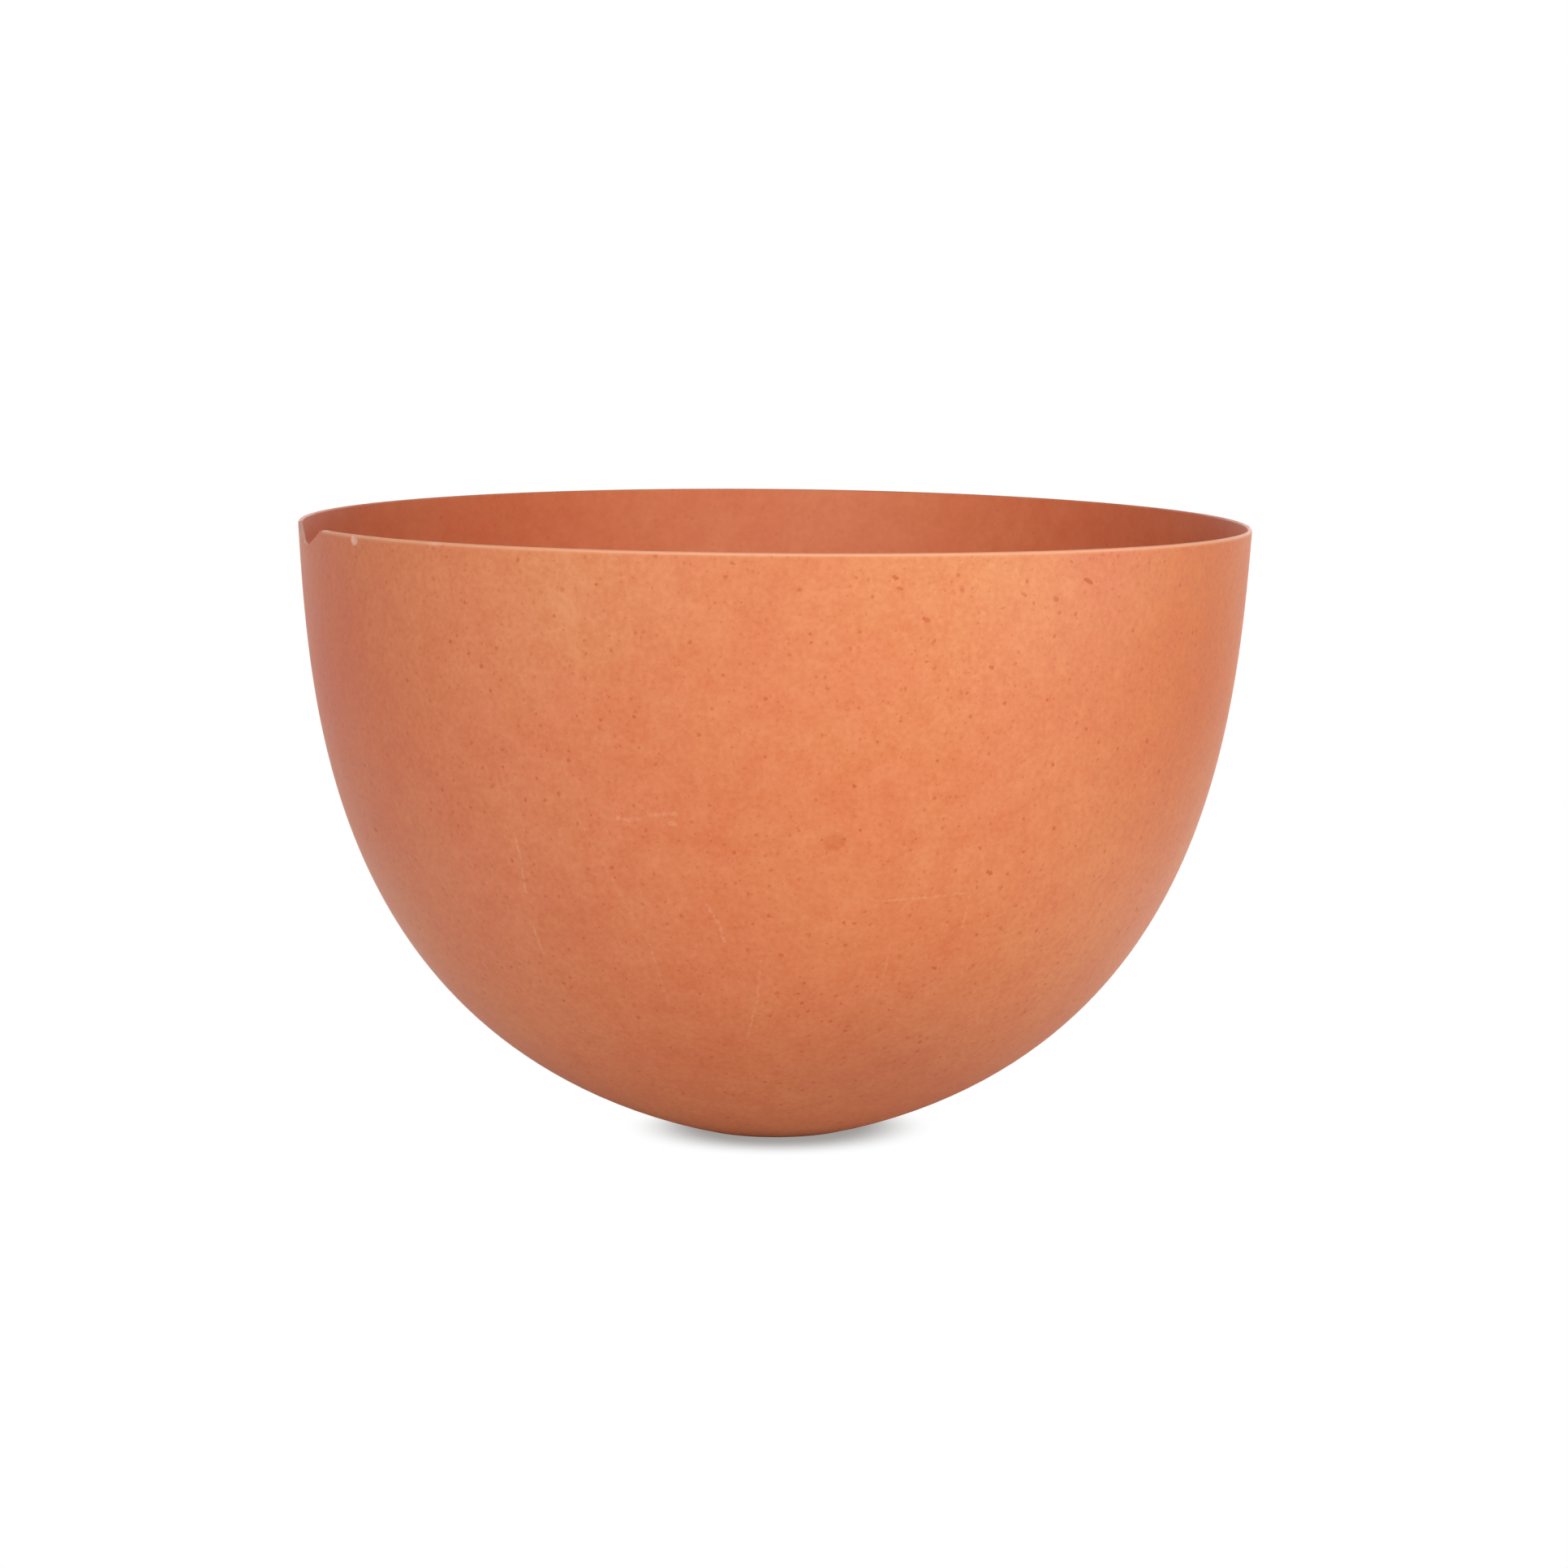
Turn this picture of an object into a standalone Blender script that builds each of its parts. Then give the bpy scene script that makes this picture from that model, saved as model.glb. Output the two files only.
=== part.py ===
"""A deep stoneware bowl, turned in one piece, with a thin rounded lip and a small flat foot.

Metres, +Z up. The origin is the middle of the foot's underside, the front is -Y and +X is to the right.
"""

import math

import bmesh
import bpy
from mathutils import Vector

# Overall sizes: across the rim, from the table to the top of the lip, and across the flat foot.
RIM_DIAMETER = 0.250
HEIGHT = 0.161
FOOT_DIAMETER = 0.044

# Thickness of the clay: at the lip, at the heel where the wall meets the foot, and in the middle of the floor.
LIP_THICKNESS = 0.0011
HEEL_THICKNESS = 0.006
FLOOR_THICKNESS = 0.0045

# The outer wall is one sweep from lip to foot. At the lip it leans outwards from upright by LIP_LEAN,
# and at the heel it rises from level by HEEL_SLOPE. Each sweep is how strongly the wall holds to its end.
LIP_LEAN = math.radians(3.5)
HEEL_SLOPE = math.radians(15.0)
UPPER_SWEEP = 0.050
LOWER_SWEEP = 0.098

# Inside, the wall runs on down at the heel's slope for about this far before the floor levels out.
FLOOR_BLEND = 0.005

# A shallow chip broken out of the rim. Its bearing turns from the front of the bowl to the left.
CHIP_BEARING = math.radians(74.8)
CHIP_WIDTH = 0.037
CHIP_DEPTH = 0.0052

# The fired clay's surface.
CLAY_COLOUR = (0.78, 0.27, 0.13, 1.0)
CLAY_ROUGHNESS = 0.62

# Into how many flats each round stretch is cut.
TURN_STEPS = 84
WALL_STEPS = 18
LIP_STEPS = 6
FLOOR_STEPS = 5

# Points nearer than this to the turning axis are joined on it.
JOIN_DISTANCE = 0.00001


def clear_scene():
    for thing in list(bpy.data.objects):
        bpy.data.objects.remove(thing, do_unlink=True)


def collection(name):
    group = bpy.data.collections.new(name)
    bpy.context.scene.collection.children.link(group)
    return group


def stoneware():
    """Unglazed red stoneware: a warm orange, matt to satin clay body."""
    clay = bpy.data.materials.new("stoneware")
    clay.use_nodes = True
    shader = clay.node_tree.nodes["Principled BSDF"]
    shader.inputs["Base Color"].default_value = CLAY_COLOUR
    shader.inputs["Roughness"].default_value = CLAY_ROUGHNESS
    shader.inputs["Metallic"].default_value = 0.0
    return clay


def curve_at(corners, t):
    """The point at t, from 0 to 1, of the cubic curve with these four corners, and its direction there."""
    start, start_handle, end_handle, end = corners
    s = 1.0 - t
    point = start * s**3 + start_handle * (3 * s * s * t) + end_handle * (3 * s * t * t) + end * t**3
    direction = (start_handle - start) * s * s
    direction += (end_handle - start_handle) * 2 * s * t
    direction += (end - end_handle) * t * t
    return point, direction.normalized()


def wall_points():
    """The outer and the inner side of the wall, each as (radius, height) points from lip to heel.

    The wall is thin at the lip and thickens towards the heel with the square of the way down.
    """
    lip_radius = LIP_THICKNESS / 2
    up_at_lip = Vector((math.sin(LIP_LEAN), math.cos(LIP_LEAN)))
    up_at_heel = Vector((math.cos(HEEL_SLOPE), math.sin(HEEL_SLOPE)))
    lip = Vector((RIM_DIAMETER / 2 - lip_radius * (1 - up_at_lip.y), HEIGHT - lip_radius * (1 + up_at_lip.x)))
    foot = Vector((FOOT_DIAMETER / 2, 0.0))
    corners = (lip, lip - UPPER_SWEEP * up_at_lip, foot + LOWER_SWEEP * up_at_heel, foot)

    outer, inner = [], []
    for step in range(WALL_STEPS + 1):
        t = step / WALL_STEPS
        point, down = curve_at(corners, t)
        inwards = Vector((down.y, -down.x))
        thickness = LIP_THICKNESS + (HEEL_THICKNESS - LIP_THICKNESS) * t**2
        outer.append(point)
        inner.append(point + thickness * inwards)
    return outer, inner


def lip_points(inner_edge, outer_edge):
    """A half circle over the lip, from the inner edge to the outer one, without the two edges."""
    centre = (inner_edge + outer_edge) / 2
    outwards = outer_edge - centre
    upwards = Vector((-outwards.y, outwards.x))
    turns = [math.pi * step / LIP_STEPS for step in range(1, LIP_STEPS)]
    return [centre - math.cos(turn) * outwards + math.sin(turn) * upwards for turn in turns]


def floor_points(heel):
    """The inside of the floor, from the middle out to the wall's heel, without the heel."""
    slope = Vector((math.cos(HEEL_SLOPE), math.sin(HEEL_SLOPE)))
    middle = Vector((0.0, FLOOR_THICKNESS))
    level = Vector((heel.x / 2, FLOOR_THICKNESS))
    corners = (middle, level, heel - FLOOR_BLEND * slope, heel)
    return [curve_at(corners, step / FLOOR_STEPS)[0] for step in range(FLOOR_STEPS)]


def bowl_profile():
    """The whole section: out along the floor, up the inside, over the lip, down the outside, in under the foot."""
    outer, inner = wall_points()
    points = floor_points(inner[-1]) + inner[::-1] + lip_points(inner[0], outer[0]) + outer
    return points + [Vector((0.0, 0.0))]


def turned(name, points, material, group):
    """A body made by turning the profile once round the upright axis."""
    section = bmesh.new()
    corners = [section.verts.new((point.x, 0.0, point.y)) for point in points]
    for first, second in zip(corners, corners[1:]):
        section.edges.new((first, second))
    mesh = bpy.data.meshes.new(name)
    section.to_mesh(mesh)
    section.free()
    mesh.materials.append(material)
    body = bpy.data.objects.new(name, mesh)
    group.objects.link(body)

    turn = body.modifiers.new("turn", "SCREW")
    turn.axis = "Z"
    turn.steps = TURN_STEPS
    turn.render_steps = TURN_STEPS
    turn.use_merge_vertices = True
    turn.merge_threshold = JOIN_DISTANCE
    turn.use_smooth_shade = True
    return body


def chip_cutter(group):
    """A three-sided bar laid across the rim, point down, as wide as the chip where it passes the lip's top.

    It stands as far above the lip as its point lies below it, and it is as long as the chip is wide.
    """
    bar = bmesh.new()
    bmesh.ops.create_cone(bar, cap_ends=True, segments=3, radius1=1.0, radius2=1.0, depth=CHIP_WIDTH)
    tip = max(corner.co.y for corner in bar.verts)
    base = min(corner.co.y for corner in bar.verts)
    half_base = max(corner.co.x for corner in bar.verts)
    for corner in bar.verts:
        across = corner.co.x / half_base * CHIP_WIDTH
        above_tip = (tip - corner.co.y) / (tip - base) * 2 * CHIP_DEPTH
        corner.co = (across, corner.co.z, above_tip)
    bmesh.ops.recalc_face_normals(bar, faces=bar.faces)
    mesh = bpy.data.meshes.new("chip_cutter")
    bar.to_mesh(mesh)
    bar.free()

    cutter = bpy.data.objects.new("chip_cutter", mesh)
    group.objects.link(cutter)
    radius = (RIM_DIAMETER - LIP_THICKNESS) / 2
    left = -radius * math.sin(CHIP_BEARING)
    front = -radius * math.cos(CHIP_BEARING)
    cutter.location = (left, front, HEIGHT - CHIP_DEPTH)
    cutter.rotation_euler = (0.0, 0.0, -CHIP_BEARING)
    cutter.display_type = "WIRE"
    cutter.hide_render = True
    return cutter


def build():
    clear_scene()
    parts = collection("stoneware_bowl")
    cutters = collection("bowl_cutters")
    bowl = turned("bowl_body", bowl_profile(), stoneware(), parts)
    chip = bowl.modifiers.new("chip", "BOOLEAN")
    chip.operation = "DIFFERENCE"
    chip.solver = "EXACT"
    chip.object = chip_cutter(cutters)


build()
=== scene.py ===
import math

import bpy
import numpy as np
from mathutils import Matrix, Vector


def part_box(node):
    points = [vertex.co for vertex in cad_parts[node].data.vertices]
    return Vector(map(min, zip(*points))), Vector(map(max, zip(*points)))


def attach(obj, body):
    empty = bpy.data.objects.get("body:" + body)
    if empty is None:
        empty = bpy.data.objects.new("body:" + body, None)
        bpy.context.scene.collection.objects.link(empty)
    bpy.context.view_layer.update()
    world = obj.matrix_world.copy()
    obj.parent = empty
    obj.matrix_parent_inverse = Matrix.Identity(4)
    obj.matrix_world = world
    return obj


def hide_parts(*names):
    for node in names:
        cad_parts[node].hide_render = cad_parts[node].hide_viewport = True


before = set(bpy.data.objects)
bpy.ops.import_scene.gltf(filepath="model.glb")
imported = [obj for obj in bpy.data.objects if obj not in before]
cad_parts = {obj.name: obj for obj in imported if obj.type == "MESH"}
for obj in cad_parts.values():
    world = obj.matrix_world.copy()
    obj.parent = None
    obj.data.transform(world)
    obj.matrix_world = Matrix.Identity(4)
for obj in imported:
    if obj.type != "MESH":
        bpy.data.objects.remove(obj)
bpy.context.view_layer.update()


# The bowl: one lump of red stoneware clay, turned thin on the wheel and fired bare.
# Its wall swells from a 1 mm lip to a 6 mm heel, and it stands on a small flat foot.
# The rim has warped a little in the kiln, and use has broken a chip and a flake out of it.

bowl_low, bowl_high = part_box("bowl_body")
RIM_RADIUS = (bowl_high.x - bowl_low.x) / 2
HEIGHT = bowl_high.z
FOOT_RADIUS = 0.022
LIP_THICKNESS = 0.0011
HEEL_THICKNESS = 0.006
FLOOR_THICKNESS = 0.0045

# The outer wall leans out from upright at the lip and rises from level at the heel, and each sweep is how
# strongly it holds to that end. Inside, it runs on down for the floor's blend before the floor levels out.
LIP_LEAN = math.radians(3.5)
HEEL_SLOPE = math.radians(15.0)
UPPER_SWEEP = 0.050
LOWER_SWEEP = 0.098
FLOOR_BLEND = 0.005

# How far the kiln has moved the bowl from the true turned form.
RIM_TILT = 0.00117
RIM_SADDLE = 0.00045
BELLY_SHIFT = -0.00062

# The chip: its edge outside and inside the wall, through points of (bearing in degrees, depth below the
# lip in millimetres). Bearings turn from the front to the left. The chip lies within a share of the way
# down the wall, which is searched in steps.
CHIP_BEARING = math.radians(74.5)
CHIP_OUTER_EDGE = (
    (66.2, 0.0), (67.2, 0.4), (68.0, 1.1), (68.9, 2.0), (70.9, 3.4), (73.0, 4.7), (74.6, 5.2),
    (76.6, 4.6), (79.0, 3.6), (80.1, 2.5), (81.3, 1.5), (82.6, 0.5), (83.4, 0.0),
)
CHIP_INNER_EDGE = (
    (65.8, 0.0), (67.0, 0.6), (68.3, 1.9), (70.9, 3.9), (73.4, 5.2), (75.0, 5.6),
    (77.2, 5.0), (79.8, 3.7), (81.6, 2.1), (83.0, 0.8), (84.2, 0.0),
)
CHIP_REACH = 0.2
CHIP_STEPS = 400

# Its edges are jagged by a share of their depth, and its face is grainy, with a soft step to whole clay.
CHIP_JAGS = 0.04
BREAK_GRAIN = 0.00007
BREAK_STEP = 0.0002

# Jags and grain are sums of waves: their number, their pitches to the radian and the row, the usual peak.
RIPPLE_WAVES = 14
ROUND_PITCHES = (150, 900)
ROW_PITCHES = (-1.6, 1.6)
RIPPLE_PEAK = 5.0

# The flake off the outside just below the lip, which spares what is inside by more than a share, and the
# pale fleck knocked into the lip beside it.
FLAKE_BEARING = math.radians(57.1)
FLAKE_DROP = 0.0014
FLAKE_HALF_WIDTH = 0.0017
FLAKE_HALF_HEIGHT = 0.0013
FLAKE_DEPTH = 0.00035
FLAKE_EDGE = 0.25
FLAKE_SPARES = 0.7
FLECK_BEARING = math.radians(41.7)
FLECK_RADIUS = 0.0008
FLECK_PALENESS = 0.7

# Use has rubbed the lip pale between two shares of the way over it, from 0 inside to 1 outside, and the pale
# band is also a painted highlight on the outer side, which faces the lamps in front. It is whole where less
# than a tenth of a millimetre is gone.
LIP_RUB_AND_HIGHLIGHT_START = 0.36
LIP_RUB_AND_HIGHLIGHT_END = 1.13
LIP_RUB_AND_HIGHLIGHT_BLEND = 0.2
LIP_WHOLE = 0.0001

# The grid: columns all round, crowded at the chip and the flake, and rows along the section, crowded at
# the lip. Faces that meet at more than the crease angle keep a sharp edge.
COLUMNS = 400
BEARING_STEPS = 20001
CHIP_CROWDING = 9.0
CHIP_SPREAD = math.radians(9.0)
FLAKE_CROWDING = 14.0
FLAKE_SPREAD = math.radians(1.5)
WALL_ROWS = 84
WALL_CROWDING = 1.6
LIP_ROWS = 23
FLOOR_ROWS = 16
FOOT_ROWS = 8
CREASE_ANGLE = math.radians(40)


def cubic(corners, t):
    """Points of a cubic curve, its four corners weighted by the Bernstein terms of t, and its directions."""
    a, b, c, d = (np.asarray(corner) for corner in corners)
    t = np.asarray(t)[..., None]
    s = 1.0 - t
    points = a * s**3 + 3 * b * s * s * t + 3 * c * s * t * t + d * t**3
    slopes = (b - a) * s * s + 2 * (c - b) * s * t + (d - c) * t * t
    return points, slopes / np.linalg.norm(slopes, axis=-1, keepdims=True)


def wall_sides(t):
    """Outer and inner (radius, height) of the wall, t running from 0 at the lip to 1 at the heel.

    The outer side is one cubic sweep. The inner side lies a thickness inwards along the normal,
    and the thickness grows from lip to heel with the square of t.
    """
    lip_radius = LIP_THICKNESS / 2
    up_at_lip = np.array((math.sin(LIP_LEAN), math.cos(LIP_LEAN)))
    up_at_heel = np.array((math.cos(HEEL_SLOPE), math.sin(HEEL_SLOPE)))
    lip = np.array((RIM_RADIUS - lip_radius * (1 - up_at_lip[1]), HEIGHT - lip_radius * (1 + up_at_lip[0])))
    foot = np.array((FOOT_RADIUS, 0.0))
    outer, down = cubic((lip, lip - UPPER_SWEEP * up_at_lip, foot + LOWER_SWEEP * up_at_heel, foot), t)
    inwards = np.stack((down[..., 1], -down[..., 0]), -1)
    thickness = LIP_THICKNESS + (HEEL_THICKNESS - LIP_THICKNESS) * np.asarray(t) ** 2
    return outer, outer + thickness[..., None] * inwards


def crowded_bearings():
    """Bearings all round, evenly spread but crowded at the chip and the flake.

    They are read off the running sum of a density: 1 everywhere, plus a broad bump at the chip and a narrow
    one at the flake.
    """
    fine = np.linspace(-math.pi, math.pi, BEARING_STEPS)
    chip = CHIP_CROWDING * np.exp(-(((fine - CHIP_BEARING) / CHIP_SPREAD) ** 4))
    flake = FLAKE_CROWDING * np.exp(-(((fine - FLAKE_BEARING) / FLAKE_SPREAD) ** 2))
    running = np.cumsum(1.0 + chip + flake)
    wanted = np.arange(COLUMNS) / COLUMNS * running[-1]
    return np.interp(wanted, running, fine)


def ripple(bearing, rows, seed):
    """A rough, repeatable ripple, mostly within 1 of nought: a sum of sines of seeded pitches and phases."""
    draw = np.random.default_rng(seed)
    total = 0.0
    for wave in range(RIPPLE_WAVES):
        round_pitch = draw.uniform(*ROUND_PITCHES)
        row_pitch = draw.uniform(*ROW_PITCHES)
        phase = draw.uniform(0, 2 * math.pi)
        total = total + np.sin(round_pitch * bearing + row_pitch * rows + phase)
    return total / RIPPLE_PEAK


def break_line(bearing, edge, seed):
    """How far down the lip is gone at each bearing: straight between points of the edge, a little jagged."""
    degrees, millimetres = np.transpose(edge)
    depth = np.interp(bearing, np.radians(degrees), millimetres / 1000)
    return depth * (1 + CHIP_JAGS * ripple(bearing, 0.0, seed))


def smooth_step(x):
    """0 below 0, 1 above 1 and a smooth S between."""
    x = np.clip(x, 0.0, 1.0)
    return x * x * (3 - 2 * x)


def wall_rows(outer_gone, inner_gone):
    """The wall's outer and inner rows, from the lip or the chip's edges down to the heel.

    Each side starts at the t where the wall lies as far below the lip as is gone, and runs from there to 1
    with a power of the row, which crowds the rows at the start.
    """
    t = np.linspace(0.0, CHIP_REACH, CHIP_STEPS)
    outer, inner = wall_sides(t)
    outer_start = np.interp(outer_gone, HEIGHT - outer[:, 1], t)
    inner_start = np.interp(inner_gone, HEIGHT - inner[:, 1], t)
    down = np.linspace(0.0, 1.0, WALL_ROWS)[:, None] ** WALL_CROWDING
    outer_rows = wall_sides(outer_start + (1 - outer_start) * down)[0]
    inner_rows = wall_sides(inner_start + (1 - inner_start) * down)[1]
    return outer_rows, inner_rows


def lip_rows(bearing, outer_edge, inner_edge, outer_gone, inner_gone):
    """A half circle over the lip from the inner edge to the outer one, and how broken each point of it is.

    In the chip the circle is cut down to a flat face between the two edges, and a ripple makes the face
    grainy.
    """
    middle = (inner_edge + outer_edge) / 2
    outwards = outer_edge - middle
    upwards = np.stack((-outwards[:, 1], outwards[:, 0]), -1)
    turn = np.linspace(0.0, math.pi, LIP_ROWS + 2)[1:-1, None]
    lip = middle - np.cos(turn)[..., None] * outwards + np.sin(turn)[..., None] * upwards
    across = (1 - np.cos(turn)) / 2
    face = HEIGHT - inner_gone + (inner_gone - outer_gone) * across
    broken = smooth_step((lip[..., 1] - face) / BREAK_STEP)
    grain = BREAK_GRAIN * np.sin(turn) * ripple(bearing, np.arange(LIP_ROWS)[:, None], seed=8)
    lip[..., 1] = np.minimum(lip[..., 1], face + grain * broken)
    return lip, broken


def bowl_section(bearing):
    """(radius, height) of every row at every bearing, with masks of break, inside, and lip rub and painted
    highlight.

    The rows run from the middle of the floor up the inside, over the lip and down the outside to the middle
    of the foot. The floor is a cubic from level in the middle to the wall's slope at the heel, and the foot
    is flat. The inside mask fades out by the top of the lip.
    """
    outer_gone = break_line(bearing, CHIP_OUTER_EDGE, seed=3)
    inner_gone = break_line(bearing, CHIP_INNER_EDGE, seed=4)
    outer, inner = wall_rows(outer_gone, inner_gone)
    lip, broken = lip_rows(bearing, outer[0], inner[0], outer_gone, inner_gone)

    slope = np.array((math.cos(HEEL_SLOPE), math.sin(HEEL_SLOPE)))
    heel = inner[-1, 0]
    middle = (0.0, FLOOR_THICKNESS)
    level = (heel[0] / 2, FLOOR_THICKNESS)
    floor_t = np.arange(1, FLOOR_ROWS) / FLOOR_ROWS
    floor = cubic((middle, level, heel - FLOOR_BLEND * slope, heel), floor_t)[0][:, None]
    foot_radii = np.linspace(FOOT_RADIUS, 0.0, FOOT_ROWS + 1)[1:-1]
    foot = np.stack((foot_radii, np.zeros(FOOT_ROWS - 1)), -1)[:, None]

    def all_round(rows):
        """The same rows at every bearing."""
        return np.broadcast_to(rows, (len(rows), len(bearing), 2))

    section = np.concatenate((all_round(floor), inner[::-1], lip, outer, all_round(foot)))
    lip_start = len(floor) + WALL_ROWS
    on_break = np.zeros(section.shape[:2])
    on_break[lip_start:lip_start + LIP_ROWS] = broken
    over_lip = (np.arange(len(section)) - lip_start + 1) / (LIP_ROWS + 1)
    inside = np.clip(1 - 2 * over_lip, 0.0, 1.0)
    rubbed_and_lit = smooth_step((over_lip - LIP_RUB_AND_HIGHLIGHT_START) / LIP_RUB_AND_HIGHLIGHT_BLEND) * smooth_step((LIP_RUB_AND_HIGHLIGHT_END - over_lip) / LIP_RUB_AND_HIGHLIGHT_BLEND)
    rubbed_and_lit = rubbed_and_lit[:, None] * (outer_gone < LIP_WHOLE)
    return section, on_break, inside[:, None] * np.ones(len(bearing)), rubbed_and_lit


def warped(x, y, z):
    """A point of the true turned form where the kiln has left it.

    The tilt lowers it with x times its share of the height. The saddle lowers it with the cosine of twice
    its angle from the x axis times the fourth power of that share. The bow shifts it sideways with a half
    sine from foot to rim.
    """
    share = z / HEIGHT
    saddle = (x**2 - y**2) / (x**2 + y**2)
    sunk = RIM_TILT * (x / RIM_RADIUS) * share + RIM_SADDLE * saddle * share**4
    return x + BELLY_SHIFT * np.sin(math.pi * share), y, z - sunk


def bowl_mesh(name):
    """The closed skin of the bowl: the section's rows times the bearings, with one point at each pole.

    The flake is a shallow half ellipsoid off the wall's radius, and the fleck only a pale spot on the lip.
    """
    bearing = crowded_bearings()
    section, on_break, inside, rubbed_and_lit = bowl_section(bearing)
    radius, height = section[..., 0], section[..., 1]

    across = (bearing - FLAKE_BEARING) * RIM_RADIUS / FLAKE_HALF_WIDTH
    below = (HEIGHT - FLAKE_DROP - height) / FLAKE_HALF_HEIGHT
    flake = np.clip(1 - across**2 - below**2, 0.0, 1.0) * (inside < FLAKE_SPARES)
    radius = radius - FLAKE_DEPTH * np.sqrt(flake)
    fleck = np.clip(1 - ((bearing - FLECK_BEARING) * RIM_RADIUS / FLECK_RADIUS) ** 2, 0.0, 1.0) * rubbed_and_lit
    on_break = np.maximum(on_break, np.maximum(smooth_step(flake / FLAKE_EDGE), FLECK_PALENESS * fleck))

    x, y, z = warped(-radius * np.sin(bearing), -radius * np.cos(bearing), height)
    rows, columns = radius.shape
    poles = np.array(((0.0, 0.0, FLOOR_THICKNESS), (0.0, 0.0, 0.0)))
    points = np.concatenate((np.stack((x, y, z), -1).reshape(-1, 3), poles))
    index = np.arange(rows * columns).reshape(rows, columns)
    following = np.roll(index, -1, axis=1)
    quads = np.stack((index[:-1], following[:-1], following[1:], index[1:]), -1).reshape(-1, 4)
    floor_pole = np.full(columns, rows * columns)
    floor_fan = np.stack((floor_pole, following[0], index[0]), -1)
    foot_fan = np.stack((floor_pole + 1, index[-1], following[-1]), -1)

    mesh = bpy.data.meshes.new(name)
    mesh.from_pydata(points, [], quads.tolist() + floor_fan.tolist() + foot_fan.tolist())
    for label, values in (("break", on_break), ("inside", inside), ("lip", rubbed_and_lit)):
        layer = mesh.attributes.new(label, "FLOAT", "POINT")
        layer.data.foreach_set("value", np.append(values.ravel(), (values[0, 0], values[-1, 0])))
    mesh.shade_smooth()
    mesh.set_sharp_from_angle(angle=CREASE_ANGLE)
    return mesh


bowl = bpy.data.objects.new("turned_bowl", bowl_mesh("turned_bowl"))
bpy.context.scene.collection.objects.link(bowl)


# The bowl's clay: red stoneware fired bare, with a sandy grain, iron specks burnt brown and pale grog.
# It is matt to satin, with soft kiln flashes and soft painted light and shade, scuffed by hairline
# scratches, rubbed pale on the lip under a painted highlight, and pink and rough where it has broken.

DEEP_CLAY = (0.751, 0.200, 0.066, 1.0)
PALE_CLAY = (0.834, 0.273, 0.110, 1.0)
RED_TINT = (1.00, 0.965, 0.985, 1.0)
SANDY_TINT = (1.00, 1.035, 1.010, 1.0)
INSIDE_TINT = (1.03, 0.94, 1.06, 1.0)
IRON = (0.55, 0.070, 0.002, 1.0)
GROG = (0.98, 0.38, 0.17, 1.0)
SCRATCHED_CLAY = (0.93, 0.44, 0.25, 1.0)
# The pale lip is rubbed clay and a painted highlight in one.
RUBBED_LIP_AND_HIGHLIGHT = (1.00, 0.47, 0.26, 1.0)
LIP_RUB_AND_HIGHLIGHT_SHARE = 0.85
BROKEN_CLAY = (1.00, 0.57, 0.44, 1.0)
BROKEN_SHARE = 0.9

# Clouds in the clay: features to the metre, detail and roughness. Each sways the tone from deep to pale by
# its own measure, the turning lines are drawn out round the bowl, and the hues run from red to sandy.
PATCHES = (22.0, 3.0, 0.55)
PATCH_SWAY = 0.8
MOTTLE = (150.0, 3.0, 0.6)
MOTTLE_SWAY = 1.4
TURNING_LINES = (260.0, 2.0, 0.5)
DRAWN_ROUND = (0.05, 0.05, 1.0)
LINE_SWAY = 0.3
GRAIN = (680.0, 3.0, 0.6)
GRAIN_SWAY = 1.9
INSIDE_GRAIN_SWAY = 0.9
HUES = (45.0, 5.0, 0.75)
HUE_SPAN = (0.35, 0.65)

# Soft tints on the wall: (bearing in degrees, height in millimetres) of the middle, the reach in millimetres
# and the tint. They are in part flashes that the kiln left and in part painted light and shade. The pale
# pair near the rim are painted highlights, the paler, bluer ones low down are painted light from the white
# table, and the darker ones are painted shade. Ten lie outside, and the one inside is painted light on the
# upper back. The wall is searched for them in steps.
KILN_TINTS_AND_PAINTED_LIGHT = (
    ((75.0, 130.0), 78.0, (0.97, 0.69, 0.64, 1.0)),
    ((38.0, 80.0), 100.0, (1.00, 0.99, 1.15, 1.0)),
    ((22.0, 152.0), 40.0, (1.02, 1.18, 1.26, 1.0)),
    ((-22.0, 152.0), 42.0, (1.05, 1.21, 1.26, 1.0)),
    ((-66.0, 132.0), 76.0, (0.94, 0.77, 0.44, 1.0)),
    ((50.0, 34.0), 55.0, (1.06, 1.11, 1.12, 1.0)),
    ((-50.0, 45.0), 62.0, (1.01, 1.09, 1.12, 1.0)),
    ((-22.0, 32.0), 46.0, (0.91, 0.94, 0.99, 1.0)),
    ((14.0, 4.0), 58.0, (1.10, 1.28, 1.30, 1.0)),
    ((-84.0, 78.0), 62.0, (1.00, 1.14, 1.30, 1.0)),
)
INSIDE_PAINTED_LIGHT = ((180.0, 158.0), 110.0, (1.10, 1.18, 1.05, 1.0))
WALL_STEPS = 2000

# Specks in the clay: the cell that each has to itself, its radius, the share of cells that hold one, and
# the strongest. Sizes run between two shares of the radius, and each speck fades out a little past its own.
LARGE_IRON = (0.0027, 0.00066, 0.60, 0.74)
SMALL_IRON = (0.0015, 0.00042, 0.60, 0.48)
GROG_GRAINS = (0.0026, 0.00042, 0.45, 0.26)
SPECK_SIZES = (0.6, 1.2)
SPECK_FADE = 1.2
SPECK_WEAKEST = 0.35
INSIDE_IRON = 0.35

# Specks and marks are frayed: the clay about them is shifted by up to half of this, over so many features
# to the metre.
FRAY = 0.0009
FRAY_SCALE = 900.0
FRAY_DETAIL = 1.0

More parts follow.
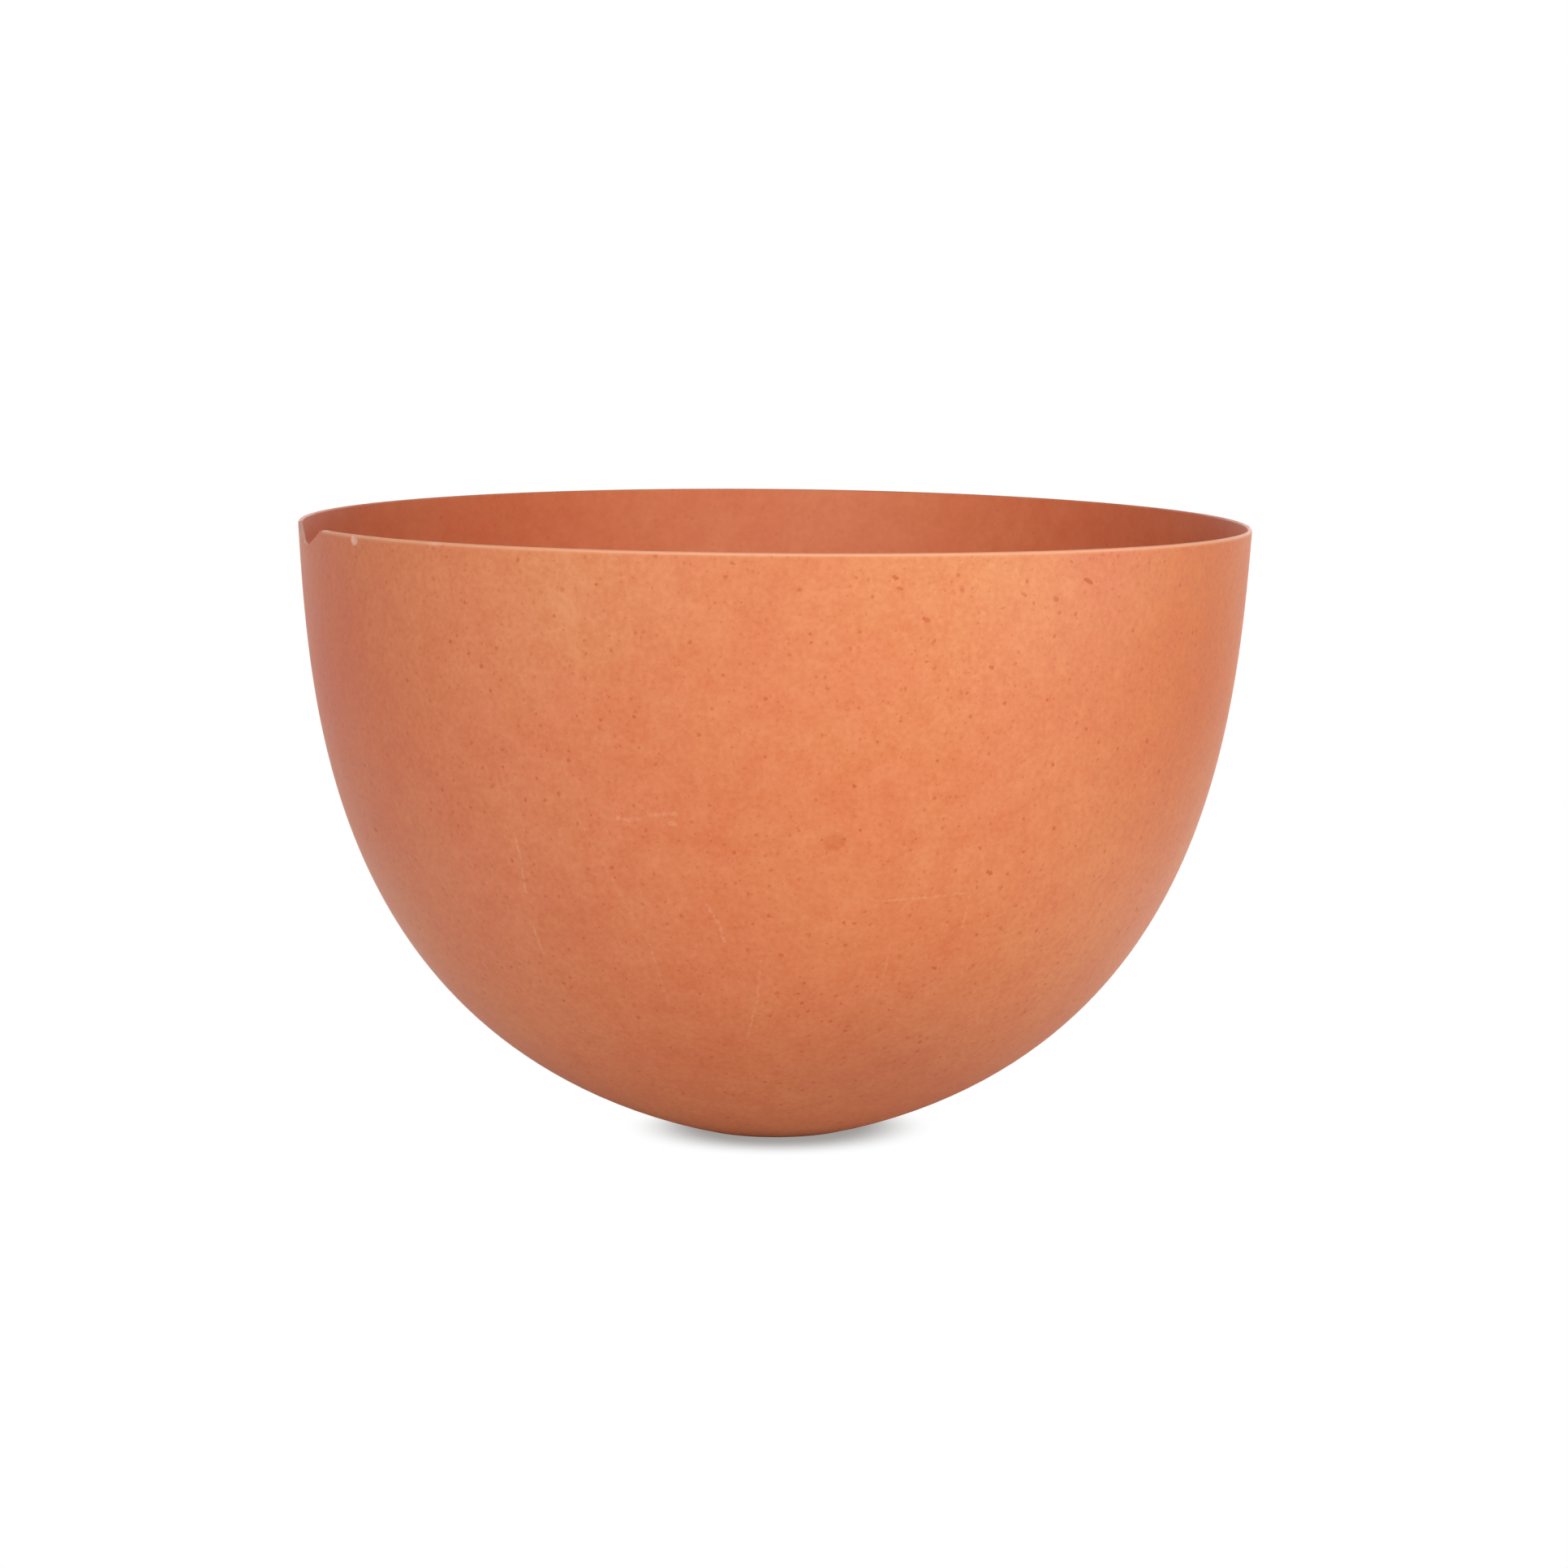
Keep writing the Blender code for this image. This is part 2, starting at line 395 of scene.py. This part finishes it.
# Marks that stand out, each along points of (bearing in degrees, height in millimetres), with its half
# width in millimetres and its strength. They go a little way into the clay and fade out from a core.
MARK_DEPTH = 0.004
MARK_CORE = 0.5
IRON_MARKS = (
    (((-13.2, 155.4), (-13.4, 155.1)), 0.68, 0.60),
    (((-13.6, 152.8), (-14.0, 152.4)), 0.50, 0.42),
    (((-16.7, 145.4), (-17.3, 144.9)), 0.66, 0.52),
    (((-33.0, 149.4), (-33.4, 149.1)), 0.66, 0.50),
    (((-37.2, 153.7), (-38.2, 152.8)), 0.64, 0.70),
    (((-25.1, 133.2), (-25.3, 133.0)), 0.66, 0.54),
    (((-50.8, 111.5), (-51.0, 111.3)), 0.68, 0.52),
    (((63.0, 84.9), (63.6, 84.8)), 0.70, 0.72),
    (((-35.0, 158.2), (-35.2, 158.0)), 0.50, 0.50),
    (((-28.6, 151.0), (-28.8, 150.9)), 0.50, 0.42),
    (((-26.2, 147.5), (-26.3, 147.4)), 0.48, 0.38),
    (((-28.0, 81.6), (-28.5, 81.2)), 0.62, 0.60),
    (((-26.2, 88.0), (-26.3, 87.9)), 0.50, 0.50),
    (((-23.2, 56.7), (-23.5, 56.3)), 0.60, 0.58),
    (((7.5, 100.0), (7.4, 99.9)), 0.50, 0.45),
    (((-7.1, 90.8), (-7.7, 90.8)), 2.70, 0.31),
)
SCRATCHES = (
    (((18.8, 95.9), (16.8, 95.5)), 0.64, 0.44),
    (((16.8, 95.6), (14.6, 97.0)), 0.60, 0.26),
    (((14.6, 97.1), (11.6, 97.6)), 0.56, 0.30),
    (((12.3, 95.0), (11.9, 95.0)), 0.80, 0.50),
    (((23.9, 94.6), (20.9, 81.8), (16.8, 63.0), (15.8, 47.0)), 0.36, 0.18),
    (((33.5, 90.0), (33.3, 83.8), (33.8, 75.0)), 0.50, 0.42),
    (((34.3, 65.8), (34.2, 58.6)), 0.50, 0.42),
    (((1.7, 59.8), (2.4, 49.0), (4.4, 37.6)), 0.46, 0.28),
    (((8.5, 74.6), (7.0, 69.6), (6.6, 65.0)), 0.52, 0.36),
    (((-14.3, 75.4), (-20.5, 75.8), (-25.3, 76.4)), 0.44, 0.26),
    (((-26.0, 76.6), (-26.0, 67.6)), 0.42, 0.27),
    (((-16.0, 64.6), (-15.9, 56.6), (-15.6, 48.4)), 0.28, 0.20),
)

# A scratch skips the hollows of the grain: it is faintest below the first level, full above the second.
SCRATCH_SKIPS = (0.38, 0.62)
SCRATCH_FAINTEST = 0.3

# The finish: satin to matt over a span of the mottle, a thin sheen from handling, and a fine relief.
CLAY_ROUGHNESS = (0.46, 0.58)
ROUGHNESS_SPAN = (0.2, 0.8)
BREAK_ROUGHNESS = 0.85
CLAY_SPECULAR = 0.4
HANDLED_SHEEN = 0.08
HANDLED_ROUGHNESS = 0.30
RELIEF_STRENGTH = 0.06
RELIEF_HEIGHT = 0.0003

clay = bpy.data.materials.new("bare_stoneware")
clay.use_nodes = True
tree = clay.node_tree
shader = tree.nodes["Principled BSDF"]


def node(kind, inputs=None, **settings):
    """A new node in the tree at hand, with these settings; an input is a value or the socket feeding it."""
    made = tree.nodes.new(kind)
    for key, value in settings.items():
        setattr(made, key, value)
    for key, value in (inputs or {}).items():
        if isinstance(value, bpy.types.NodeSocket):
            tree.links.new(value, made.inputs[key])
        else:
            made.inputs[key].default_value = value
    return made


def noise(where, scale, detail, roughness):
    """Clouds about 0.5, with this many features to the metre."""
    inputs = {"Vector": where, "Scale": scale, "Detail": detail, "Roughness": roughness}
    return node("ShaderNodeTexNoise", inputs).outputs["Fac"]


def map_range(value, low, high, to_low=0.0, to_high=1.0, shape="SMOOTHSTEP"):
    """The value carried from between low and high to between to_low and to_high, in an S or straight."""
    inputs = {"Value": value, "From Min": low, "From Max": high, "To Min": to_low, "To Max": to_high}
    return node("ShaderNodeMapRange", inputs, interpolation_type=shape).outputs["Result"]


def maths(operation, first, second=0.0, third=0.0):
    """One operation on up to three numbers."""
    return node("ShaderNodeMath", {0: first, 1: second, 2: third}, operation=operation).outputs["Value"]


def vectors(operation, first, second=(0.0, 0.0, 0.0), third=(0.0, 0.0, 0.0), result="Vector"):
    """One operation on up to three vectors, which gives a vector or, for a length, a value."""
    inputs = {0: first, 1: second, 2: third}
    return node("ShaderNodeVectorMath", inputs, operation=operation).outputs[result]


def mixed(factor, first, second, blend="MIX"):
    """The first colour blended with the second by the factor; 6, 7 and 2 are the node's colour sockets."""
    inputs = {0: factor, 6: first, 7: second}
    return node("ShaderNodeMix", inputs, data_type="RGBA", blend_type=blend).outputs[2]


def specks(cell, radius, kept, strongest):
    """Round specks of about this radius in metres, one to each cell, of which a share is kept.

    The specks fill the clay, so the surface cuts each at its own depth. Each fades in a smooth S from its
    middle outwards, and its cell draws its size and its strength.
    """
    cells = node("ShaderNodeTexVoronoi", {"Vector": frayed, "Scale": 1.0 / cell})
    chance = node("ShaderNodeSeparateColor", {"Color": cells.outputs["Color"]})
    smallest, largest = (share * radius / cell for share in SPECK_SIZES)
    size = map_range(chance.outputs["Green"], 0.0, 1.0, smallest, largest, "LINEAR")
    dot = map_range(maths("DIVIDE", cells.outputs["Distance"], size), SPECK_FADE, 0.0)
    weakest = SPECK_WEAKEST * strongest
    strength = map_range(chance.outputs["Blue"], 0.0, 1.0, weakest, strongest, "LINEAR")
    lucky = maths("LESS_THAN", chance.outputs["Red"], kept)
    return maths("MULTIPLY", maths("MULTIPLY", dot, strength), lucky)


def on_wall(bearing, height):
    """The outer wall's point at this bearing in degrees and height in millimetres, warped with the bowl."""
    outer = wall_sides(np.linspace(1.0, 0.0, WALL_STEPS))[0]
    radius = np.interp(height / 1000, outer[:, 1], outer[:, 0])
    turn = math.radians(bearing)
    return Vector(warped(-radius * math.sin(turn), -radius * math.cos(turn), height / 1000))


def kiln_or_painted_tint(colour, middle, reach, tint):
    """The colour times the tint at the middle of a flash or of painted light and shade, fading in a smooth S
    to itself at the reach.
    """
    away = vectors("DISTANCE", place, on_wall(*middle), result="Value")
    return mixed(map_range(away, reach / 1000, 0.0), colour, tint, "MULTIPLY")


def from_line(first, last, half_width):
    """How far each point lies from the line between two points on the wall, in half widths.

    In the line's own axes (along, across, out of the wall) the line is folded at its middle and its half
    length taken off, so that what is left along it is nought beside the line and grows past its ends.
    """
    middle = (first + last) / 2
    along = (last - first).normalized()
    across = along.cross(Vector((middle.x, middle.y, 0.0))).normalized()
    outwards = along.cross(across)
    inputs = {
        "Vector": frayed,
        "Location": middle,
        "Rotation": Matrix((along, across, outwards)).transposed().to_euler(),
        "Scale": (half_width, half_width, MARK_DEPTH),
    }
    local = node("ShaderNodeMapping", inputs, vector_type="TEXTURE").outputs["Vector"]
    half_length = (last - first).length / 2 / half_width
    past = vectors("SUBTRACT", vectors("ABSOLUTE", local), (half_length, 0.0, 0.0))
    return vectors("LENGTH", vectors("MAXIMUM", past, (0.0, 0.0, 0.0)), result="Value")


def marks(wanted):
    """How strongly each point of the surface is marked: the strongest of soft lines from point to point."""
    total = 0.0
    for path, half_width, strength in wanted:
        points = [on_wall(*spot) for spot in path]
        for first, last in zip(points, points[1:]):
            away = from_line(first, last, half_width / 1000)
            total = maths("MAXIMUM", map_range(away, 1.0, MARK_CORE, 0.0, strength), total)
    return total


place = node("ShaderNodeTexCoord").outputs["Object"]
shift = node("ShaderNodeTexNoise", {"Vector": place, "Scale": FRAY_SCALE, "Detail": FRAY_DETAIL})
shift = vectors("SUBTRACT", shift.outputs["Color"], (0.5, 0.5, 0.5))
frayed = vectors("MULTIPLY_ADD", shift, (FRAY, FRAY, FRAY), place)
inside = node("ShaderNodeAttribute", attribute_name="inside").outputs["Fac"]
outside = maths("SUBTRACT", 1.0, inside)
lip_rub_and_highlight = node("ShaderNodeAttribute", attribute_name="lip").outputs["Fac"]
on_break = node("ShaderNodeAttribute", attribute_name="break").outputs["Fac"]

patches = noise(place, *PATCHES)
mottle = noise(place, *MOTTLE)
turning_lines = noise(vectors("MULTIPLY", place, DRAWN_ROUND), *TURNING_LINES)
grain = noise(place, *GRAIN)
grain_sway = map_range(inside, 0.0, 1.0, GRAIN_SWAY, INSIDE_GRAIN_SWAY, "LINEAR")
sways = ((patches, PATCH_SWAY), (mottle, MOTTLE_SWAY), (turning_lines, LINE_SWAY), (grain, grain_sway))
tone = 0.5
for cloud, sway in sways:
    tone = maths("MULTIPLY_ADD", maths("SUBTRACT", cloud, 0.5), sway, tone)
hue = mixed(map_range(noise(place, *HUES), *HUE_SPAN), RED_TINT, SANDY_TINT)
plain_clay = mixed(1.0, mixed(tone, DEEP_CLAY, PALE_CLAY), hue, "MULTIPLY")
# Outside, the clay takes kiln flashes and painted light and shade; inside, painted light on the upper back.
outside_clay = plain_clay
for soft_tint in KILN_TINTS_AND_PAINTED_LIGHT:
    outside_clay = kiln_or_painted_tint(outside_clay, *soft_tint)
inside_clay = kiln_or_painted_tint(mixed(1.0, plain_clay, INSIDE_TINT, "MULTIPLY"), *INSIDE_PAINTED_LIGHT)
colour = mixed(inside, outside_clay, inside_clay)

iron = maths("MAXIMUM", specks(*LARGE_IRON), specks(*SMALL_IRON))
iron = maths("MULTIPLY", iron, map_range(inside, 0.0, 1.0, 1.0, INSIDE_IRON, "LINEAR"))
iron = maths("MAXIMUM", iron, maths("MULTIPLY", marks(IRON_MARKS), outside))
scratched = map_range(grain, *SCRATCH_SKIPS, SCRATCH_FAINTEST, 1.0)
scratched = maths("MULTIPLY", maths("MULTIPLY", marks(SCRATCHES), scratched), outside)
colour = mixed(specks(*GROG_GRAINS), colour, GROG)
colour = mixed(iron, colour, IRON)
colour = mixed(scratched, colour, SCRATCHED_CLAY)
# The lip: rubbed pale by use, with a painted highlight along its outer side.
colour = mixed(maths("MULTIPLY", lip_rub_and_highlight, LIP_RUB_AND_HIGHLIGHT_SHARE), colour, RUBBED_LIP_AND_HIGHLIGHT)
colour = mixed(maths("MULTIPLY", on_break, BROKEN_SHARE), colour, BROKEN_CLAY)
tree.links.new(colour, shader.inputs["Base Color"])

roughness = map_range(mottle, *ROUGHNESS_SPAN, *CLAY_ROUGHNESS, "LINEAR")
roughness = maths("MAXIMUM", roughness, maths("MULTIPLY", on_break, BREAK_ROUGHNESS))
tree.links.new(roughness, shader.inputs["Roughness"])
shader.inputs["Specular IOR Level"].default_value = CLAY_SPECULAR
shader.inputs["Coat Weight"].default_value = HANDLED_SHEEN
shader.inputs["Coat Roughness"].default_value = HANDLED_ROUGHNESS

# The relief is made of grain and mottle alone, because a bump works out three times all that feeds it.
relief = maths("MULTIPLY", maths("ADD", grain, mottle), 0.5)
bump = node("ShaderNodeBump", {"Height": relief, "Strength": RELIEF_STRENGTH, "Distance": RELIEF_HEIGHT})
tree.links.new(bump.outputs["Normal"], shader.inputs["Normal"])

bowl.data.materials.append(clay)
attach(bowl, "root")
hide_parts("bowl_body")


# The table that the bowl stands on: a flat, matt, white sheet a hair below the foot. It takes the shadow,
# but to the camera it is washed out to white, down to the shade close about the foot. Gloss sees it white
# too, and dark under the bowl.

FLOOR_HALF = 4.0
FLOOR_GAP = 0.0002
FLOOR_WHITE = (0.85, 0.85, 0.85, 1.0)
SHOWN_WHITE = (1.0, 1.0, 1.0, 1.0)

# The shade about the foot: its colour, how near above the bowl has to be, and the round patch of the table
# in which it is full and past which it is gone. Under the bowl gloss sees a colour and a reach of its own.
CONTACT_SHADE = (0.33, 0.31, 0.30, 1.0)
CONTACT_REACH = 0.0095
CONTACT_MIDDLE = (0.001, -0.006, 0.0)
CONTACT_FULL = 0.020
CONTACT_GONE = 0.042
UNDER_SHADE = (0.06, 0.035, 0.025, 1.0)
UNDER_REACH = 0.100

floor_mesh = bpy.data.meshes.new("table_top")
floor_corners = np.array(((-1, -1), (1, -1), (1, 1), (-1, 1))) * FLOOR_HALF
floor_mesh.from_pydata(np.column_stack((floor_corners, np.full(4, -FLOOR_GAP))), [], [(0, 1, 2, 3)])
floor = bpy.data.objects.new("table_top", floor_mesh)
bpy.context.scene.collection.objects.link(floor)

white = bpy.data.materials.new("white_table")
white.use_nodes = True
tree = white.node_tree
tree.nodes.clear()


def showing(rays):
    """1 for rays that show a surface, to the camera, in gloss or through glass, and 0 for the others."""
    shown = maths("MAXIMUM", rays.outputs["Is Camera Ray"], rays.outputs["Is Glossy Ray"])
    return maths("MAXIMUM", shown, rays.outputs["Is Transmission Ray"])


rays = node("ShaderNodeLightPath")
on_table = node("ShaderNodeTexCoord").outputs["Object"]
from_contact = vectors("DISTANCE", on_table, CONTACT_MIDDLE, result="Value")
near_contact = map_range(from_contact, CONTACT_GONE, CONTACT_FULL)
clear_nearby = node("ShaderNodeAmbientOcclusion", {"Distance": CONTACT_REACH}).outputs["AO"]
contact = maths("MULTIPLY", maths("SUBTRACT", 1.0, clear_nearby), near_contact)
clear_around = node("ShaderNodeAmbientOcclusion", {"Distance": UNDER_REACH}).outputs["AO"]
seen = mixed(contact, SHOWN_WHITE, CONTACT_SHADE)
mirrored = mixed(clear_around, UNDER_SHADE, SHOWN_WHITE)
tint = mixed(rays.outputs["Is Camera Ray"], mirrored, seen)
washed = node("ShaderNodeEmission", {"Color": tint}).outputs["Emission"]
plain = node("ShaderNodeBsdfDiffuse", {"Color": FLOOR_WHITE}).outputs["BSDF"]
surface = node("ShaderNodeMixShader", {0: showing(rays), 1: plain, 2: washed}).outputs["Shader"]
node("ShaderNodeOutputMaterial", {"Surface": surface})
floor_mesh.materials.append(white)


# The light: a white room that shows as full white but lights faintly, and five soft lamps out of view.
# Two broad ones stand above the front, a long low card on each side, and a wide one fills from behind.
# Each lamp has its place, its width and height, and its watts.

ROOM_LEVEL = 0.09
LAMPS = {
    "front_left": ((-0.450, -1.679, 0.556), (1.0, 1.0), 12.7),
    "front_right": ((0.684, -1.466, 0.879), (1.0, 1.0), 9.8),
    "right_card": ((0.951, -0.309, 0.072), (0.8, 0.13), 2.4),
    "left_card": ((-0.940, -0.342, 0.072), (0.8, 0.13), 0.50),
    "back_fill": ((0.000, 1.500, 0.450), (1.8, 0.7), 8.0),
}
LAMP_AIM = Vector((0.0, 0.0, 0.09))

room = bpy.data.worlds.new("white_room")
room.use_nodes = True
tree = room.node_tree
tree.nodes.clear()
shown = showing(node("ShaderNodeLightPath"))
level = map_range(shown, 0.0, 1.0, ROOM_LEVEL, 1.0, "LINEAR")
walls = node("ShaderNodeBackground", {"Color": SHOWN_WHITE, "Strength": level}).outputs["Background"]
node("ShaderNodeOutputWorld", {"Surface": walls})
bpy.context.scene.world = room

for name, (spot, (wide, tall), watts) in LAMPS.items():
    lamp = bpy.data.lights.new(name, "AREA")
    lamp.shape = "RECTANGLE"
    lamp.size = wide
    lamp.size_y = tall
    lamp.energy = watts
    holder = bpy.data.objects.new(name, lamp)
    holder.location = spot
    holder.rotation_euler = (LAMP_AIM - holder.location).to_track_quat("-Z", "Y").to_euler()
    bpy.context.scene.collection.objects.link(holder)


# The camera: a long lens in front of the bowl, a little above the rim and aimed near the bowl's middle.
# Its place and length were fitted to the outline and to the ellipse of the rim in the photograph.

CAMERA_PLACE = Vector((0.0, -1.25, 0.2454))
CAMERA_AIM = Vector((0.00229, 0.0, 0.09083))
LENS = 109.08
SENSOR_WIDTH = 36.0

lens = bpy.data.cameras.new("camera")
lens.lens = LENS
lens.sensor_width = SENSOR_WIDTH
camera = bpy.data.objects.new("camera", lens)
camera.location = CAMERA_PLACE
camera.rotation_euler = (CAMERA_AIM - CAMERA_PLACE).to_track_quat("-Z", "Y").to_euler()
bpy.context.scene.collection.objects.link(camera)
bpy.context.scene.camera = camera
bpy.context.scene.view_settings.view_transform = "Standard"
